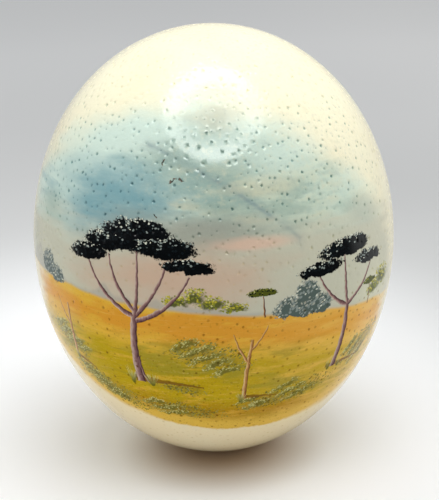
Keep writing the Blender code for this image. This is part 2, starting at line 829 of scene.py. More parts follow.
@dataclass(frozen=True)
class Mass(LaidMark):
    """A rounded leaf mass: its centre on the canvas, its half sizes in millimetres and its turn.

    It is flatter below, and its shade rises towards its upper left.
    """

    centre: Pair
    size: Pair
    turn: float = 0.0

    title = "leaf_mass"

    def inputs(self) -> dict[str, object]:
        """The group's inputs for this mass.

        Returns:
            A value for each.
        """
        cosine, sine = math.cos(self.turn), math.sin(self.turn)
        return {
            "start": (*self.centre, 0.0),
            "way": (cosine / self.size[0], sine / self.size[0], 0.0),
            "off": (-sine / self.size[1], cosine / self.size[1], 0.0),
        }

    @staticmethod
    def shape(along: Field, side: Field, given: dict[str, Field]) -> tuple[Field, Field]:
        """Rounds the mass.

        Args:
            along: How far across the mass a point lies, in shares of its size.
            side: How far up it lies.
            given: The group's inputs, not used here.

        Returns:
            How far inside the mass it is, and how lit.
        """
        flat = side.math("MAXIMUM", side * -1.7)
        away = along.sheet.vector(along, flat).vector_math("LENGTH")
        return 1.0 - away, side - along * 0.35


@dataclass(frozen=True)
class Tuft(Mass):
    """A fan of grass blades: its root on the canvas, half its spread and its height.

    Its reach is above 0.5 on a blade, and its shade rises from 0 at the root to 1 at the tips.
    """

    title = "grass_tuft"

    @staticmethod
    def shape(along: Field, side: Field, given: dict[str, Field]) -> tuple[Field, Field]:
        """Spreads thin bright lines of a noise into a fan.

        Args:
            along: How far across the tuft a point lies, in shares of its size.
            side: How far up it lies.
            given: The group's inputs.

        Returns:
            How surely a blade covers it, and how near its tip that is.
        """
        risen = side.math("MAXIMUM", 0.0)
        fan = along / (risen * 0.9 + 0.16)
        lines = along.sheet.vector(fan * 11.0, side * 0.9).vector_math("ADD", given["start"])
        blades = lines.noise(1.0, 1.0, 0.6)
        edge = fan.math("ABSOLUTE").math("POWER", 3.0)
        cover = blades * 2.0 + 0.05 - risen * 0.75 - edge * 0.7 - (risen - side) * 8.0
        return cover, side + blades * 0.5 - 0.25


class BrushDabs(Mark):
    """Small dabs, scattered as thickly as asked. Cover is 1 on a dab."""

    title = "brush_dabs"
    vectors = ("canvas", "size", "shift")
    numbers = ("density",)
    gives = ("cover",)

    @classmethod
    def draw(cls, sheet: Sheet, given: dict[str, Field]) -> tuple[Field]:
        """Keeps that share of a field of cells and draws a spot in each.

        Args:
            sheet: The group's sheet.
            given: The group's inputs.

        Returns:
            The cover.
        """
        cells = {"Vector": given["canvas"].laid(given["size"], given["shift"]), "Scale": 1.0}
        node = sheet.node("ShaderNodeTexVoronoi", cells, voronoi_dimensions="2D")
        chance = Field(sheet, node.outputs["Color"]).colour_parts()[0]
        kept = chance.math("LESS_THAN", given["density"])
        return (kept * Field(sheet, node.outputs["Distance"]).ramp(0.52, 0.34),)


# ---------------------------------------------------------------- the painting


def pigment(red: int, green: int, blue: int) -> Triple:
    """A colour from 0 to 255 as screens count it, in the even steps that shaders use."""
    shares = (red / 255, green / 255, blue / 255)
    return tuple(s / 12.92 if s <= 0.04045 else ((s + 0.055) / 1.055) ** 2.4 for s in shares)


class Tone(Enum):
    """The colours on the shell and on the painter's palette."""

    SHELL = pigment(237, 232, 202)
    # painted light: the lower shell's warmer tone stands in for warm light bounced up from below
    SHELL_WARM = pigment(238, 221, 182)
    PORE_CREAM = pigment(255, 252, 238)
    PORE_EARTH = pigment(170, 148, 110)
    PORE_TEAL = pigment(146, 176, 182)
    PALE_SKY = pigment(203, 222, 209)
    MILD_SKY = pigment(192, 207, 187)
    SKY_BLUE = pigment(124, 166, 172)
    SKY_GREY = pigment(150, 173, 160)
    CLOUD = pigment(208, 207, 178)
    DUSK = pigment(104, 126, 136)
    HAZE = pigment(206, 178, 153)
    HAZE_PALE = pigment(197, 194, 172)
    HAZE_DIM = pigment(160, 162, 148)
    ROSE = pigment(222, 188, 164)
    HILL = pigment(160, 158, 150)
    ORANGE = pigment(220, 154, 46)
    GOLD = pigment(226, 180, 62)
    OLIVE = pigment(188, 160, 16)
    GREEN = pigment(156, 144, 38)
    AMBER = pigment(172, 126, 8)
    RIM = pigment(228, 188, 78)
    PALE_GOLD = pigment(236, 192, 104)
    UMBER = pigment(128, 90, 14)
    NIGHT = pigment(8, 11, 13)
    NIGHT_GREEN = pigment(16, 24, 27)
    STONE_GREY = pigment(134, 144, 138)
    SILVER_DARK = pigment(84, 98, 92)
    CHALK = pigment(212, 214, 196)
    MAUVE_PALE = pigment(204, 180, 164)
    MAUVE = pigment(146, 110, 106)
    MAUVE_DARK = pigment(76, 46, 52)
    TAN_PALE = pigment(226, 192, 138)
    TAN = pigment(194, 142, 84)
    TAN_DARK = pigment(122, 76, 38)
    LEAF_DARK = pigment(80, 86, 26)
    LEAF = pigment(130, 134, 46)
    LEAF_YELLOW = pigment(188, 176, 54)
    LEAF_PALE = pigment(206, 200, 132)
    SAGE_DARK = pigment(110, 104, 42)
    SAGE = pigment(146, 142, 70)
    SAGE_PALE = pigment(190, 184, 112)


Paint = Field | Tone | Triple


class Coats:
    """The paint laid so far: its colour, and its height above the shell in millimetres."""

    def __init__(self, colour: Paint) -> None:
        """Starts with the lowest colour."""
        self.colour = colour
        self.relief: Number = 0.0

    def lay(self, paint: Paint, share: Field, height: float = 0.0) -> None:
        """Lays one more paint over the others.

        Args:
            paint: The paint.
            share: How much of it covers.
            height: How thick it is, in millimetres.
        """
        self.colour = share.between(self.colour, paint)
        if height:
            self.relief = self.relief + share * height


@dataclass(frozen=True)
class Patch:
    """A soft cloudy patch: its tone, its middle on the canvas, its half sizes and its share."""

    tone: Tone
    centre: Pair
    size: Pair
    share: float = 1.0

    def cover(self, canvas: Field, drift: Field) -> Field:
        """How much of the patch covers each point, as its cloudiness drifts."""
        seen = canvas.laid((*self.size, 1.0), (*self.centre, 0.0))
        return (seen.vector_math("LENGTH") - drift * 1.3).ramp(1.05, 0.15)

    def paint(self, canvas: Field, drift: Field, coats: Coats) -> None:
        """Paints the patch."""
        coats.lay(self.tone, self.cover(canvas, drift) * self.share)


@dataclass(frozen=True)
class Horizon:
    """The line between the sky and the ground, which falls to the right."""

    height: float = -3.0
    slope: float = -0.078
    curve: float = -0.0003

    def above(self, canvas: Field) -> Field:
        """How far above the horizon each point is.

        Args:
            canvas: The canvas.

        Returns:
            The height in millimetres.
        """
        across, up = canvas.split()
        swell = canvas.noise((22.0, UNCHANGING, UNCHANGING))
        line = across * (across * self.curve + self.slope) + self.height
        return up - line - (swell - 0.5) * 3.0


@dataclass(frozen=True)
class Sky:
    """A pale wash with a blue patch to the left, soft streaks of cloud and a warm haze below.

    The wash ends highest a little left of the front and comes down to both sides, more to the
    right. The clouds and the haze are patches, the first lowest.
    """

    top: float = 59.5
    top_at: float = -8.0
    top_curves: Pair = (0.0043, 0.0073)
    mild: Patch = Patch(Tone.MILD_SKY, (18.0, 28.0), (60.0, 34.0))
    grey: Patch = Patch(Tone.SKY_GREY, (-4.0, 43.5), (36.0, 17.0), 0.92)
    blue: Patch = Patch(Tone.SKY_BLUE, (-34.0, 27.5), (42.0, 17.5))
    clouds: tuple[Patch, ...] = (
        Patch(Tone.SKY_GREY, (3.0, 28.5), (17.0, 6.0), 0.7),
        Patch(Tone.SKY_GREY, (-66.0, 22.0), (13.0, 8.0), 0.6),
        Patch(Tone.CLOUD, (20.0, 33.0), (15.0, 4.5), 0.6),
        Patch(Tone.SKY_BLUE, (-31.0, 36.0), (19.0, 9.0), 0.42),
        Patch(Tone.HAZE_PALE, (2.0, 56.0), (14.0, 7.0), 0.5),
        Patch(Tone.HAZE_DIM, (57.0, 18.0), (14.0, 9.0), 0.45),
        Patch(Tone.PALE_SKY, (25.0, 42.0), (22.0, 8.5), 0.55),
    )
    haze: tuple[Patch, ...] = (
        Patch(Tone.HAZE_DIM, (-8.0, 21.0), (34.0, 8.5), 0.85),
        Patch(Tone.HAZE, (-14.0, 7.0), (42.0, 13.5), 1.0),
        Patch(Tone.ROSE, (13.0, 17.0), (17.0, 2.8), 0.8),
        Patch(Tone.CLOUD, (61.0, -5.0), (19.0, 10.0), 0.75),
    )
    scratch: Stroke = Stroke((-25.0, 46.6), (28.0, 17.0), 0.30, bow=3.4, taper=0.0)
    flaws: tuple[Mass, ...] = (
        Mass((-18.0, 40.6), (0.5, 1.5), -0.3),
        Mass((-13.6, 35.8), (1.5, 0.5), 0.5),
        Mass((-11.0, 36.0), (1.1, 0.6), -0.3),
        Mass((-19.0, 25.4), (0.9, 0.4), -0.7),
    )

    def paint(self, canvas: Field, place: Field, coats: Coats) -> None:
        """Paints the sky.

        Args:
            canvas: The canvas.
            place: Places in the egg's own space, in millimetres.
            coats: The paint so far.
        """
        across, up = canvas.split()
        drift = place.noise((26.0, 26.0, 10.0), 4.0, 0.55) - 0.5
        streaks = canvas.noise((42.0, 5.4, UNCHANGING), 4.0, 0.55)
        clouds = canvas.noise((17.0, 4.2, UNCHANGING), 3.0)
        wash = self.mild.cover(canvas, drift).between(Tone.PALE_SKY, self.mild.tone)
        coats.lay(wash, self._wash(across, up, drift))
        self.grey.paint(canvas, drift, coats)
        banded = up.ramp(44.0, 32.0) * up.ramp(12.0, 22.0) * across.ramp(-32.0, -6.0)
        banded = banded * across.ramp(60.0, 36.0)
        coats.lay(Tone.SKY_GREY, clouds.ramp(0.56, 0.40) * banded * 0.6)
        patch = self.blue.cover(canvas, drift) * (streaks.ramp(0.70, 0.46) * 0.25 + 0.72)
        near = across.ramp(30.0, -10.0) * up.ramp(38.0, 28.0) * up.ramp(16.0, 24.0)
        coats.lay(Tone.SKY_BLUE, patch.math("MAXIMUM", streaks.ramp(0.52, 0.36) * near * 0.55))
        coats.lay(Tone.CLOUD, clouds.ramp(0.50, 0.68) * banded * 0.6)
        for cloud in self.clouds:
            cloud.paint(canvas, drift, coats)
        mottled = place.noise(1.7, 2.0, 0.6)
        high = up.ramp(16.0, 32.0) * (across.ramp(-36.0, 4.0) * 0.8 + 0.2)
        coats.lay(Tone.CLOUD, mottled.ramp(0.50, 0.74) * high * 0.34)
        coats.lay(Tone.DUSK, mottled.ramp(0.46, 0.26) * high * 0.16)
        edge = up + drift * 12.0 + (streaks - 0.5) * 16.0
        coats.lay(Tone.HAZE_PALE, edge.ramp(26.0, 13.0) * 0.92)
        for veil in self.haze:
            veil.paint(canvas, drift, coats)
        self._spoil(canvas, coats)

    def _wash(self, across: Field, up: Field, drift: Field) -> Field:
        """How much of the wash covers: none towards the egg's bare top.

        Args:
            across: How far across the canvas a point lies.
            up: How far up.
            drift: The cloudiness, about 0.

        Returns:
            The share.
        """
        off = across - self.top_at
        left, right = self.top_curves
        line = off * off * (off.ramp(-12.0, 20.0) * (right - left) + left)
        return (up + line + drift * 24.0).ramp(self.top + 11.0, self.top - 10.0)

    def _spoil(self, canvas: Field, coats: Coats) -> None:
        """Draws the faint dark line that runs down through the sky, and a few small flaws.

        Args:
            canvas: The canvas.
            coats: The paint so far.
        """
        inside, _ = Stroke.laid(canvas.wobble(0.5, 6.0), (self.scratch,))
        fading = canvas.noise(9.0).ramp(0.36, 0.60)
        coats.lay(Tone.DUSK, inside.ramp(-3.4, 0.2) * 0.15)
        coats.lay(Tone.DUSK, inside.ramp(-0.9, 0.3) * (fading * 0.36 + 0.04))
        flaw, _ = Mass.laid(canvas.wobble(1.0, 0.9), self.flaws)
        spoilt = canvas.noise(1.2, 1.0).ramp(0.46, 0.56) * 0.55
        coats.lay(spoilt.between(Tone.NIGHT, Tone.TAN_DARK), flaw.ramp(-0.1, 0.3) * 0.85)


@dataclass(frozen=True)
class Ground:
    """Dry grassland in brushed bands: orange far off, then olive, then amber to the lower edge."""

    reach: float = 46.0
    places: tuple[float, ...] = (0.00, 0.05, 0.15, 0.24, 0.36, 0.66, 0.80, 1.00)
    tones: tuple[Tone, ...] = (
        Tone.GOLD, Tone.ORANGE, Tone.ORANGE, Tone.GOLD,
        Tone.OLIVE, Tone.OLIVE, Tone.AMBER, Tone.AMBER,
    )

    def paint(self, canvas: Field, above: Field, inward: Field, coats: Coats) -> None:
        """Paints the hills and the ground.

        Args:
            canvas: The canvas.
            above: How far above the horizon a point is.
            inward: How far above the painting's lower edge it is.
            coats: The paint so far.
        """
        ridge = canvas.noise((31.0, UNCHANGING, UNCHANGING), 3.0, 0.6)
        hills = (above - (ridge - 0.42).ramp(0.0, 0.35) * 9.0 - 0.6).ramp(0.8, -0.8)
        across = canvas.toward(RIGHT)
        coats.lay(Tone.HILL, hills * across.ramp(44.0, 14.0) * 0.45)
        broad = canvas.noise((34.0, 9.0, UNCHANGING), 3.0)
        middle = canvas.noise((16.0, 3.0, UNCHANGING), 4.0, 0.6)
        fine = canvas.noise((8.0, 0.8, UNCHANGING), 3.0, 0.65)
        grain = canvas.noise(0.75, 1.0)
        down = above * -1.0
        depth = down / self.reach + (broad - 0.5) * 0.34 + (middle - 0.5) * 0.14
        bands = Coats(depth.tones(self.places, self.tones))
        green = (broad + middle * 0.4).ramp(0.70, 0.56) * down.ramp(7.0, 14.0)
        bands.lay(Tone.GREEN, green * down.ramp(44.0, 30.0) * 0.8)
        bands.lay(Tone.GOLD, middle.ramp(0.52, 0.66) * 0.55)
        bands.lay(Tone.UMBER, fine.ramp(0.46, 0.30) * down.ramp(6.0, 16.0) * 0.3)
        bands.lay(Tone.PALE_GOLD, fine.ramp(0.56, 0.72) * 0.3)
        mottled = canvas.noise((3.0, 1.8, UNCHANGING), 3.0, 0.6)
        bands.lay(Tone.UMBER, mottled.ramp(0.45, 0.28) * down.ramp(3.0, 14.0) * 0.2)
        bands.lay(Tone.PALE_GOLD, mottled.ramp(0.58, 0.74) * 0.22)
        bands.lay(Tone.UMBER, grain.ramp(0.42, 0.24) * 0.2)
        bands.lay(Tone.LEAF_PALE, grain.ramp(0.58, 0.76) * down.ramp(8.0, 20.0) * 0.16)
        bands.lay(Tone.RIM, (inward - broad * 5.0).ramp(8.0, 0.0) * 0.9)
        specks = canvas.noise(0.55, 1.0).ramp(0.64, 0.72) * down.ramp(12.0, 34.0)
        bands.lay(Tone.UMBER, specks * 0.55)
        lit = across.ramp(-4.0, 62.0) * (middle.ramp(0.36, 0.62) * 0.35 + 0.25)
        bands.lay(Tone.PALE_GOLD, lit)
        coats.lay(bands.colour, above.ramp(0.7, -0.7))


@dataclass(frozen=True)
class Foliage:
    """Leaf masses painted as a dark mass with lighter dabs on the side of the light."""

    masses: tuple[Mass, ...]
    dark: Tone
    lights: tuple[Tone, Tone, Tone]
    densities: Triple
    dab: Pair
    ragged: float
    cover: float = 1.0
    shading: float = 1.0
    slant: float = 0.0
    thickness: float = 0.0

    def paint(self, canvas: Field, coats: Coats) -> None:
        """Paints the masses.

        Args:
            canvas: The canvas.
            coats: The paint so far.
        """
        width, height = self.dab
        mass, lit = Mass.laid(canvas.wobble(self.ragged, 3.3, 3.0), self.masses)
        rough = mass + (canvas.noise(width * 0.8, 2.0, 0.6) - 0.5) * 0.6
        body = rough.ramp(0.02, 0.16 if self.cover == 1.0 else 0.6)
        coats.lay(self.dark, body * self.cover, self.thickness)
        loose = canvas.wobble(height * 0.6, width * 1.7).laid((1.0, 1.0, 1.0), turn=self.slant)
        faces = (lit.ramp(-0.7, 0.5), lit.ramp(-0.2, 0.8), lit.ramp(0.15, 0.95))
        gathered = canvas.noise(width * 2.6, 1.0).ramp(0.34, 0.62) * 0.8 + 0.5
        for order, (tone, share, face) in enumerate(zip(self.lights, self.densities, faces)):
            size = 1.15 - 0.15 * order
            density = (face * (share * self.shading) + share * (1 - self.shading)) * gathered
            dabs = {
                "canvas": loose,
                "size": (width * size, height * size, 1.0),
                "shift": (17.3 * order, 9.7 * order, 0.0),
                "density": density,
            }
            coats.lay(tone, BrushDabs.use(canvas.sheet, dabs)[0] * rough.ramp(-0.05, 0.05))


@dataclass(frozen=True)
class Wood:
    """Trunks and branches, each stroke going from pale on its left to dark on its right."""

    strokes: tuple[Stroke, ...]
    tones: tuple[Tone, Tone, Tone]
    cover: float = 1.0
    thickness: float = 0.0

    def paint(self, canvas: Field, coats: Coats) -> None:
        """Paints the strokes.

        Args:
            canvas: The canvas.
            coats: The paint so far.
        """
        inside, across = Stroke.laid(canvas.wobble(0.4, 2.2, 1.0), self.strokes)
        hairs = canvas.noise((0.5, 2.5, UNCHANGING))
        paint = (across * 0.42 + (hairs - 0.5) * 0.5 + 0.5).tones((0.12, 0.42, 0.82), self.tones)
        coats.lay(paint, inside.ramp(-0.10, 0.16) * self.cover, self.thickness)


@dataclass(frozen=True)
class Grass:
    """Tufts of grass, dark at the root and pale at the tips."""

    tufts: tuple[Tuft, ...]
    tones: tuple[Tone, Tone, Tone]

    def paint(self, canvas: Field, coats: Coats) -> None:
        """Paints the tufts."""
        cover, tip = Tuft.laid(canvas, self.tufts)
        coats.lay(tip.tones((0.0, 0.45, 0.95), self.tones), cover.ramp(0.42, 0.62) * 0.92)


@dataclass(frozen=True)
class Painting:
    """The whole painting and its outline on the shell.

    Each side is a pair of places across, between which the paint thins out. The ground ends before
    the sky does, and further out the lower it lies.
    """

    left: Pair = (-96.0, -78.0)
    right: Pair = (84.0, 68.0)
    ground_left: Pair = (-64.0, -78.0)
    ground_right: Pair = (64.0, 78.0)
    ground_slant: float = 0.5
    ground_depth: float = 20.0
    lowest: float = -50.6
    lowest_at: float = 12.0
    lower_curve: float = 0.0034

    def paint(self, canvas: Field, place: Field, shell: Paint) -> tuple[Coats, Field]:
        """Paints everything on the bare shell.

        Args:
            canvas: The canvas.
            place: Places in the egg's own space, in millimetres.
            shell: The bare shell's colour.

        Returns:
            The paint on the shell, and how much of it covers each point.
        """
        across, up = canvas.split()
        soft = canvas.noise(16.0)
        fine = canvas.noise(1.8, 3.0, 0.6)
        off = across - self.lowest_at
        line = off * off * self.lower_curve + self.lowest
        inward = up - line + (soft - 0.5) * 3.0 + (fine - 0.5) * 1.6
        brushed = canvas.noise((22.0, 2.6, UNCHANGING))
        side = across + (soft - 0.5) * 16.0 + (brushed - 0.5) * 10.0
        blurred = across.ramp(20.0, 62.0) * 3.4 + across.ramp(-10.0, -50.0) * 1.4
        outline = side.ramp(*self.left) * side.ramp(*self.right)
        outline = outline * inward.ramp(blurred * -1.0 - 0.6, blurred + 0.7)
        above = Horizon().above(canvas)
        deeper = above.math("MAXIMUM", -self.ground_depth) * self.ground_slant
        ended = (side - deeper).ramp(*self.ground_left) + (side + deeper).ramp(*self.ground_right)
        outline = outline * (1.0 - above.ramp(0.7, -0.7) * ended)
        coats = Coats(shell)
        Sky().paint(canvas, place, coats)
        Ground().paint(canvas, above, inward, coats)
        for part in (*distance(), *scrub(), *near_trees(), *grasses()):
            part.paint(canvas, coats)
        coats.colour = outline.between(shell, coats.colour)
        return coats, outline


def distance() -> tuple[Wood | Foliage, ...]:
    """Silver-leaved and green bushes along the horizon, and small flat-topped trees far off.

    Returns:
        The parts, the lowest first.
    """
    silver_bushes = (
        Mass((-66.0, 3.6), (5.0, 5.4), 0.1),
        Mass((-60.5, 1.6), (4.6, 3.8), -0.1),
        Mass((30.0, 0.2), (4.8, 4.2), 0.1),
        Mass((23.6, -3.6), (5.4, 4.0), 0.2),
        Mass((33.6, -4.2), (6.4, 4.6), -0.1),
        Mass((27.6, -5.2), (4.4, 2.8)),
    )
    bushes = (
        Mass((-12.0, 0.6), (5.0, 2.4)),
        Mass((-6.5, 1.6), (4.6, 3.2)),
        Mass((-1.0, -0.2), (5.6, 2.8)),
        Mass((6.5, -1.6), (5.0, 2.0)),
        Mass((62.0, -5.6), (5.0, 3.2)),
        Mass((68.0, -3.4), (6.0, 4.4)),
    )
    trunks = (
        Stroke((15.4, -4.8), (15.0, 1.6), 0.34),
        Stroke((58.6, -9.4), (58.8, -3.0), 0.30),
    )
    crowns = (Mass((14.8, 2.4), (5.2, 1.6)), Mass((58.8, -2.2), (4.2, 1.4)))
    silver = (Tone.STONE_GREY, Tone.HAZE_DIM, Tone.CHALK)
    leaves = (Tone.LEAF, Tone.LEAF_YELLOW, Tone.LEAF_PALE)
    far_leaves = (Tone.NIGHT_GREEN, Tone.LEAF, Tone.LEAF_PALE)
    return (
        Foliage(
            silver_bushes, Tone.SILVER_DARK, silver, (0.85, 0.50, 0.20), (1.15, 0.70), 1.5,
            shading=0.8, slant=0.5, thickness=0.08,
        ),
        Foliage(
            bushes, Tone.LEAF_DARK, leaves, (0.80, 0.62, 0.30), (0.92, 0.74), 1.6,
            cover=0.95, shading=0.8,
        ),
        Wood(trunks, (Tone.TAN, Tone.TAN_DARK, Tone.MAUVE_DARK)),
        Foliage(crowns, Tone.LEAF_DARK, far_leaves, (0.5, 0.6, 0.3), (0.7, 0.5), 0.7),
    )


def clump(left: float, top: float, width: float, turn: float, rows: int) -> tuple[Mass, ...]:
    """Rows of low growth, each row lower and further right than the one before.

    Args:
        left: Where the middle of the first row is across the canvas.
        top: Where it is up the canvas.
        width: Half the length of a row.
        turn: How far the rows turn up to the right.
        rows: How many there are.

    Returns:
        The rows.
    """
    return tuple(
        Mass((left + 3.4 * row, top - 2.3 * row), (width + 0.6 * (row % 3), 1.55), turn)
        for row in range(rows)
    )


def scrub() -> tuple[Foliage, ...]:
    """Low scrub on the ground: soft dark patches with rows of small pale dabs on them.

    Returns:
        The parts, the lowest first.
    """
    patches = (
        Mass((-2.0, -18.0), (15.0, 6.4), -0.22),
        Mass((-59.0, -19.0), (10.0, 5.0), -0.45),
        Mass((-44.0, -34.5), (17.0, 5.0), -0.38),
        Mass((-14.0, -40.0), (18.0, 4.2), -0.10),
        Mass((26.0, -35.4), (20.0, 5.4), 0.14),
        Mass((60.0, -24.0), (12.0, 5.0), 0.40),
        Mass((-12.0, -30.0), (9.0, 3.0), -0.10),
    )
    rows = (
        *clump(-10.0, -13.0, 6.0, 0.34, 5),
        *clump(-62.0, -14.0, 5.0, 0.10, 4),
        *clump(-54.0, -27.5, 5.6, -0.15, 5),
        *clump(-24.0, -36.5, 6.4, 0.05, 3),
        *clump(12.0, -35.0, 6.4, 0.26, 2),
        *clump(25.0, -31.0, 7.0, 0.30, 3),
        *clump(53.0, -22.5, 5.6, 0.62, 3),
    )
    soft = (Tone.SAGE_DARK, Tone.SAGE, Tone.OLIVE)
    pale = (Tone.SAGE, Tone.SAGE_PALE, Tone.LEAF_PALE)
    return (
        Foliage(
            patches, Tone.SAGE_DARK, soft, (0.40, 0.30, 0.20), (0.95, 0.50), 2.6,
            cover=0.5, shading=0.2, slant=0.5,
        ),
        Foliage(
            rows, Tone.SAGE_DARK, pale, (0.75, 0.50, 0.27), (1.0, 0.46), 2.0,
            cover=0.88, shading=0.85, slant=0.5,
        ),
    )


def near_trees() -> tuple[Wood | Foliage, ...]:
    """Two umbrella-shaped thorn trees with their shadows, and two dead tan saplings.

    Returns:
        The parts, the lowest first.
    """
    shadows = (
        Stroke((-29.0, -26.6), (-5.0, -28.6), 1.1, 0.5, 0.7),
        Stroke((42.0, -27.2), (60.0, -27.6), 0.8, 0.0, 0.7),
        Stroke((8.0, -32.8), (22.0, -34.0), 0.8, 0.0, 0.7),
        Stroke((-57.0, -24.2), (-48.0, -27.0), 0.7, 0.0, 0.7),
    )
    saplings = (
        Stroke((9.4, -33.6), (11.6, -12.0), 0.85, 0.5, 0.4),
        Stroke((10.8, -20.0), (5.4, -9.6), 0.50, 0.5, 0.6),
        Stroke((11.4, -15.0), (16.6, -7.6), 0.45, -0.4, 0.6),
        Stroke((-57.0, -24.0), (-55.4, -6.0), 0.80, -0.4, 0.4),
        Stroke((-56.0, -13.0), (-60.6, -5.0), 0.45, 0.4, 0.6),
    )
    trunks = (
        Stroke((-30.8, -27.6), (-27.6, -18.0), 0.45, -0.9, -0.6),
        Stroke((-24.4, -28.0), (-26.8, -18.6), 0.45, 0.9, -0.6),
        Stroke((-27.6, -27.0), (-26.0, -2.0), 1.50, 0.9, 0.30),
        Stroke((-26.2, -5.0), (-43.0, 10.0), 0.95, 2.4, 0.6),
        Stroke((-26.0, -3.2), (-35.0, 13.0), 0.8, 1.6, 0.6),
        Stroke((-26.0, -3.4), (-25.0, 15.0), 0.8, -0.5, 0.6),
        Stroke((-26.0, -4.2), (-15.0, 12.5), 0.85, -1.6, 0.6),
        Stroke((-26.0, -6.0), (-8.0, 8.0), 0.9, -2.4, 0.6),
        Stroke((45.0, -27.4), (46.6, -5.4), 1.30, -0.8, 0.35),
        Stroke((46.6, -6.8), (34.5, 4.8), 0.8, 1.5, 0.6),
        Stroke((46.6, -6.0), (45.4, 9.0), 0.7, 0.4, 0.6),
        Stroke((46.6, -6.6), (59.0, 4.4), 0.8, -1.4, 0.6),
    )
    crowns = (
        Mass((-43.5, 12.2), (9.0, 3.2), 0.06),
        Mass((-8.5, 10.8), (9.0, 3.0), -0.08),
        Mass((-34.5, 16.4), (11.5, 4.2), 0.04),
        Mass((-16.5, 15.6), (12.0, 4.2), -0.04),
        Mass((-26.0, 20.0), (13.5, 4.4)),
        Mass((35.5, 6.4), (9.0, 3.0), 0.05),
        Mass((58.0, 5.6), (8.4, 2.8), -0.06),
        Mass((46.8, 10.6), (12.4, 4.0)),
    )
    gaps = (Tone.NIGHT_GREEN, Tone.STONE_GREY, Tone.CHALK)
    return (
        Wood(shadows, (Tone.UMBER, Tone.UMBER, Tone.TAN_DARK), cover=0.85),
        Wood(saplings, (Tone.TAN_PALE, Tone.TAN, Tone.TAN_DARK), thickness=0.10),
        Wood(trunks, (Tone.MAUVE_PALE, Tone.MAUVE, Tone.MAUVE_DARK), thickness=0.16),
        Foliage(crowns, Tone.NIGHT, gaps, (0.5, 0.40, 0.40), (0.95, 0.70), 1.7, thickness=0.14),
    )


def grasses() -> tuple[Grass, ...]:
    """Grass at the trees' feet.

    Returns:
        The grass.
    """
    tufts = (
        Tuft((-31.0, -28.8), (4.0, 5.0)),
        Tuft((-23.5, -29.0), (4.0, 4.4)),
        Tuft((43.0, -28.8), (3.4, 4.0)),
        Tuft((48.0, -28.8), (3.0, 3.4)),
        Tuft((8.4, -35.4), (3.4, 4.0)),
        Tuft((-57.0, -25.6), (3.0, 3.6)),
    )
    return (Grass(tufts, (Tone.LEAF_DARK, Tone.SAGE, Tone.LEAF_PALE)),)


@dataclass(frozen=True)
class VarnishedShell:
    """The shell's material: cream shell, the painting, dirt in the pores and clear varnish."""

    form: EggForm
    coat_roughness: float = 0.145
    coat_ior: float = 1.36
    under_roughness: float = 0.6
    peel_size: float = 2.3
    peel_height: float = 0.14
    grit_size: float = 0.8
    grit_height: float = 0.03

    def material(self) -> bpy.types.Material:
        """Builds the material.

        Returns:
            The material.
        """
        sheet, material, shader = new_material("painted_shell")
        spot = sheet.place()
        place = spot.vector_math("MULTIPLY", (1 / MM, 1 / MM, 1 / MM))
        canvas = self._canvas(spot)
        coats, outline = Painting().paint(canvas, place, self._bare(place))
        pore = sheet.field("ShaderNodeAttribute", {}, "Fac", attribute_name="pore")
        up = canvas.toward(UP_CANVAS)
        in_sky = outline * up.ramp(12.0, 26.0) * up.ramp(66.0, 50.0)
        on_ground = (outline * 0.7 + 0.3) * up.ramp(2.0, -8.0)
        dirt = in_sky.between(on_ground.between(Tone.PORE_CREAM, Tone.PORE_EARTH), Tone.PORE_TEAL)
        uneven = place.noise(2.6, 1.0).ramp(0.36, 0.62)
        colour = (pore * (uneven * 0.55 + 0.45)).stained(coats.colour, dirt)
        peel = place.noise(self.peel_size, 3.0, 0.6) * self.peel_height
        grit = place.noise(self.grit_size, 1.0) * self.grit_height
        relief = {"Strength": 1.0, "Distance": MM, "Height": coats.relief + peel + grit}
        finish = {
            "Base Color": colour,
            "Normal": sheet.field("ShaderNodeBump", relief),
            "Roughness": self.under_roughness,
            "Specular IOR Level": 0.0,
            "Coat Weight": 1.0,
            "Coat Roughness": self.coat_roughness,
            "Coat IOR": self.coat_ior,
        }
        sheet.fill(shader, finish)
        return material

    def _canvas(self, spot: Field) -> Field:
        """Where a point of the shell lies on the canvas.

        Args:
            spot: Where it lies in the egg's own space, in metres.

        Returns:
            Millimetres round from the front, and up the shell from its middle height.
        """
        half_length, half_width = self.form.length / 2, self.form.width / 2
        turn = spot.toward(RIGHT).math("ARCTAN2", spot.toward(FRONT))
        tilt = ((spot.toward(UP) - self.form.middle) / half_length).math("ARCSINE")
        mean = (half_length + half_width) / 2
        return spot.sheet.vector(turn * (half_width / MM), tilt * (mean / MM))

    @staticmethod
    def _bare(place: Field) -> Field:
        """The bare shell, faintly uneven in tone, and warmer in its lower part as painted warm bounce
        light from below.

        Args:
            place: Places in the egg's own space, in millimetres.

        Returns:
            Its colour.
        """
        cloudy = place.noise(28.0, 3.0, 0.6)
        grain = place.noise(1.1, 1.0)
        # painted light: warmer lower down, for warm bounce light from below
        lower = place.toward(UP).ramp(110.0, 20.0)
        share = lower * 0.8 + (cloudy - 0.5) * 1.2 + (grain - 0.5) * 0.4
        return (share + 0.1).between(Tone.SHELL, Tone.SHELL_WARM)


# ---------------------------------------------------------------- studio


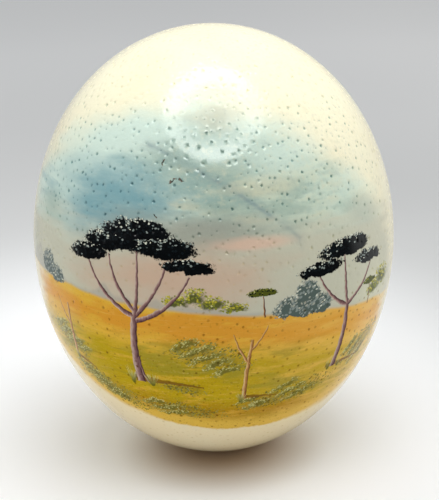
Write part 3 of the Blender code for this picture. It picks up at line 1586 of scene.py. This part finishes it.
@dataclass(frozen=True)
class PaleFloor:
    """The floor's material: pale, with painted shade: a painted contact shadow where the egg stands, a
    painted greyer band off the egg, and darker to the right.

    Each pair of colours goes from the left to the right.
    """

    # painted shadow: the dark brown colour the floor takes right under the egg
    painted_contact_shadow: Triple = (0.46, 0.35, 0.24)
    # painted shade: these pairs make the floor darker to the right, greyer in a band off the egg and
    # lighter far away
    near: tuple[Triple, Triple] = ((0.97, 0.98, 0.99), (0.85, 0.86, 0.87))
    grey: tuple[Triple, Triple] = ((0.68, 0.685, 0.68), (0.59, 0.595, 0.59))
    far: tuple[Triple, Triple] = ((0.95, 0.955, 0.95), (1.0, 1.0, 0.99))
    # painted reflection: the near black the floor in front shows in the egg's varnish
    painted_dark_reflection: Triple = (0.06, 0.06, 0.06)
    roughness: float = 0.8

    def material(self) -> bpy.types.Material:
        """Builds the material.

        Returns:
            The material.
        """
        sheet, material, shader = new_material("pale_floor")
        place = sheet.place()
        away = place.vector_math("LENGTH")
        ahead = place.toward(FRONT)
        right = place.toward(RIGHT)
        near = place.vector_math("ADD", (0.0, 0.010, 0.0)).vector_math("LENGTH")
        # painted shade: the floor near the egg is darker to the right
        pale = right.ramp(0.01, 0.07).between(*self.near)
        # painted contact shadow: the floor is darkened and browned round the egg's foot, in place of the
        # shade under it
        coats = Coats(near.ramp(0.009, 0.042).between(self.painted_contact_shadow, pale))
        # painted shade: a greyer band off the egg, dimmer to the right, stands in for the room behind
        # falling into shade; the far floor is painted lighter again
        dimmer = right.ramp(0.0, 0.12) * away.ramp(0.6, 0.3)
        grey = dimmer.between(*self.grey)
        coats.lay(grey, (away + dimmer * 0.06).ramp(0.10, 0.30))
        far = right.ramp(-0.05, 0.25).between(*self.far)
        coats.lay(far, away.ramp(0.3, 1.0))
        # painted reflection: seen in the varnish, the floor in front of the egg shows near black
        painted_dark_reflection = sheet.field("ShaderNodeLightPath", {}, "Is Glossy Ray")
        coats.lay(self.painted_dark_reflection, painted_dark_reflection * ahead.ramp(-0.02, 0.05))
        finish = {"Base Color": coats.colour, "Roughness": self.roughness, "Specular IOR Level": 0.0}
        sheet.fill(shader, finish)
        return material


@dataclass(frozen=True)
class LampGlow:
    """The round lamp's material: a bright band round a dimmer middle, fainter to the right.

    Each pair of colours goes from the front to the back.
    """

    depth: float
    inner: float = 0.152
    edge: float = 0.02
    strength: float = 9.0
    bright: tuple[Triple, Triple] = ((2.3, 2.3, 2.26), (1.0, 0.99, 0.96))
    dim: tuple[Triple, Triple] = ((1.15, 1.15, 1.12), (0.30, 0.30, 0.29))
    centre: Triple = (0.02, 0.02, 0.02)
    right: Triple = (0.46, 0.47, 0.48)

    def material(self) -> bpy.types.Material:
        """Builds the material.

        Returns:
            The material.
        """
        sheet, material, shader = new_material("lamp_glow")
        place = sheet.place()
        behind = place.toward((-0.35, 1.0, 0.0)).ramp(-0.22, 0.12)
        bright = behind.between(*self.bright)
        dim = behind.between(*self.dim)
        even = place.vector_math("MULTIPLY", (1.0, 1.0 / self.depth, 1.0))
        reach = even.vector_math("LENGTH")
        middle = reach.ramp(0.03, 0.09).between(self.centre, dim)
        glow = reach.ramp(self.inner - self.edge, self.inner + self.edge).between(middle, bright)
        glow = place.toward(RIGHT).ramp(0.08, 0.18).stained(glow, self.right)
        black = (0.0, 0.0, 0.0)
        finish = {"Base Color": black, "Emission Color": glow, "Emission Strength": self.strength}
        sheet.fill(shader, finish)
        return material


@dataclass
class Studio:
    """The pale floor, the soft lights and the camera round the egg.

    Each light is its name, its place, its width and its power in watts.
    """

    form: EggForm
    frame_long_side: float = 500.0
    focal_pixels: float = 1204.0
    sensor_width: float = 36.0
    nearest: float = 0.01
    distance: float = 0.430
    elevation: float = math.radians(18.0)
    roll: float = math.radians(1.57)
    aim_right: float = 5.6
    aim_down: float = 8.7
    floor_radius: float = 6.0
    lamp: Triple = (0.015, -0.21, 0.52)
    lamp_radius: float = 0.238
    lamp_depth: float = 1.18
    lights: tuple[tuple[str, Triple, float, float], ...] = (
        ("key", (0.03, -0.02, 0.52), 0.5, 2.0),
        ("fill_left", (-0.9, -0.5, 0.40), 0.8, 3.1),
        ("fill_right", (0.9, -0.3, 0.45), 0.8, 3.25),
    )
    room: tuple[Triple, Triple] = ((0.97, 0.985, 1.0), (0.14, 0.14, 0.15))
    room_light: float = 0.55

    def build(self) -> None:
        """Makes everything round the egg."""
        self._floor()
        self._ring()
        for light in self.lights:
            self._area(*light)
        self._world()
        self._camera()
        LOG.info("studio: floor, %d lights, a lamp and a camera", len(self.lights))

    @staticmethod
    def _disc(name: str, radius: float, vertices: int) -> bpy.types.Object:
        """Adds a flat disc at the origin.

        Args:
            name: Its name.
            radius: Its radius.
            vertices: How many corners it has.

        Returns:
            The object.
        """
        bpy.ops.object.select_all(action="DESELECT")
        bpy.ops.mesh.primitive_circle_add(vertices=vertices, radius=radius, fill_type="NGON")
        disc = bpy.context.object
        disc.name = name
        return disc

    def _floor(self) -> None:
        """Adds the wide floor."""
        floor = self._disc("floor", self.floor_radius, 96)
        floor.data.materials.append(PaleFloor().material())

    def _ring(self) -> None:
        """Adds the round lamp overhead, which the varnish mirrors."""
        ring = self._disc("ring_lamp", self.lamp_radius, 64)
        bpy.ops.object.mode_set(mode="EDIT")
        bpy.ops.mesh.select_all(action="SELECT")
        bpy.ops.transform.resize(value=(1.0, self.lamp_depth, 1.0))
        bpy.ops.object.mode_set(mode="OBJECT")
        ring.location = self.lamp
        ring.data.materials.append(LampGlow(self.lamp_depth).material())
        ring.visible_camera = False
        ring.visible_diffuse = False

    def _area(self, name: str, place: Triple, size: float, power: float) -> None:
        """One round soft light that faces the egg's middle and shows in no reflection.

        Args:
            name: Its name.
            place: Where it stands.
            size: Its width.
            power: Its power in watts.
        """
        light = bpy.data.lights.new(name, "AREA")
        light.shape = "DISK"
        light.size = size
        light.energy = power
        lamp = bpy.data.objects.new(name, light)
        lamp.location = place
        aim = Vector((0, 0, self.form.middle)) - lamp.location
        lamp.rotation_euler = aim.to_track_quat("-Z", "Y").to_euler()
        lamp.visible_glossy = False
        bpy.context.scene.collection.objects.link(lamp)

    def _world(self) -> None:
        """Pale light from all round, dimmer from the front below eye height."""
        scene = bpy.context.scene
        scene.world = bpy.data.worlds.new("soft_room")
        scene.world.use_nodes = True
        sheet = Sheet(scene.world.node_tree)
        way = sheet.place("Generated")
        low_front = way.toward(FRONT).ramp(-0.1, 0.75) * way.toward(UP).ramp(0.75, 0.20)
        colour = low_front.between(*self.room)
        shade = scene.world.node_tree.nodes["Background"]
        sheet.fill(shade, {"Color": colour, "Strength": self.room_light})
        scene.view_settings.view_transform = "Standard"
        scene.view_settings.look = "None"

    def _camera(self) -> None:
        """The camera, at the photo's height and distance, leaning a little."""
        data = bpy.data.cameras.new("camera")
        data.sensor_width = self.sensor_width
        data.lens = self.focal_pixels / self.frame_long_side * data.sensor_width
        data.shift_x = self.aim_right / self.frame_long_side
        data.shift_y = -self.aim_down / self.frame_long_side
        data.clip_start = self.nearest
        camera = bpy.data.objects.new("camera", data)
        middle = Vector((0, 0, self.form.middle))
        back = Vector((0, -math.cos(self.elevation), math.sin(self.elevation)))
        turn = (-back).to_track_quat("-Z", "Y").to_matrix().to_4x4()
        lean = Matrix.Rotation(-self.roll, 4, "Z")
        camera.matrix_world = Matrix.Translation(middle + back * self.distance) @ turn @ lean
        bpy.context.scene.collection.objects.link(camera)
        bpy.context.scene.camera = camera


def main() -> None:
    """Builds the egg and the studio."""
    logging.basicConfig(level=logging.INFO, format="%(message)s")
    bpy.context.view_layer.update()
    low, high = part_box("ostrich_egg")
    form = EggForm.filling(Vector(low), Vector(high))
    LOG.info("egg %.2f x %.2f mm", form.width / MM, form.length / MM)
    piece = Shell(form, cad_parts["ostrich_egg"]).build()
    piece.data.materials.append(VarnishedShell(form).material())
    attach(piece, "root")
    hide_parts("ostrich_egg")
    Studio(form).build()


if __name__ == "__main__":
    main()
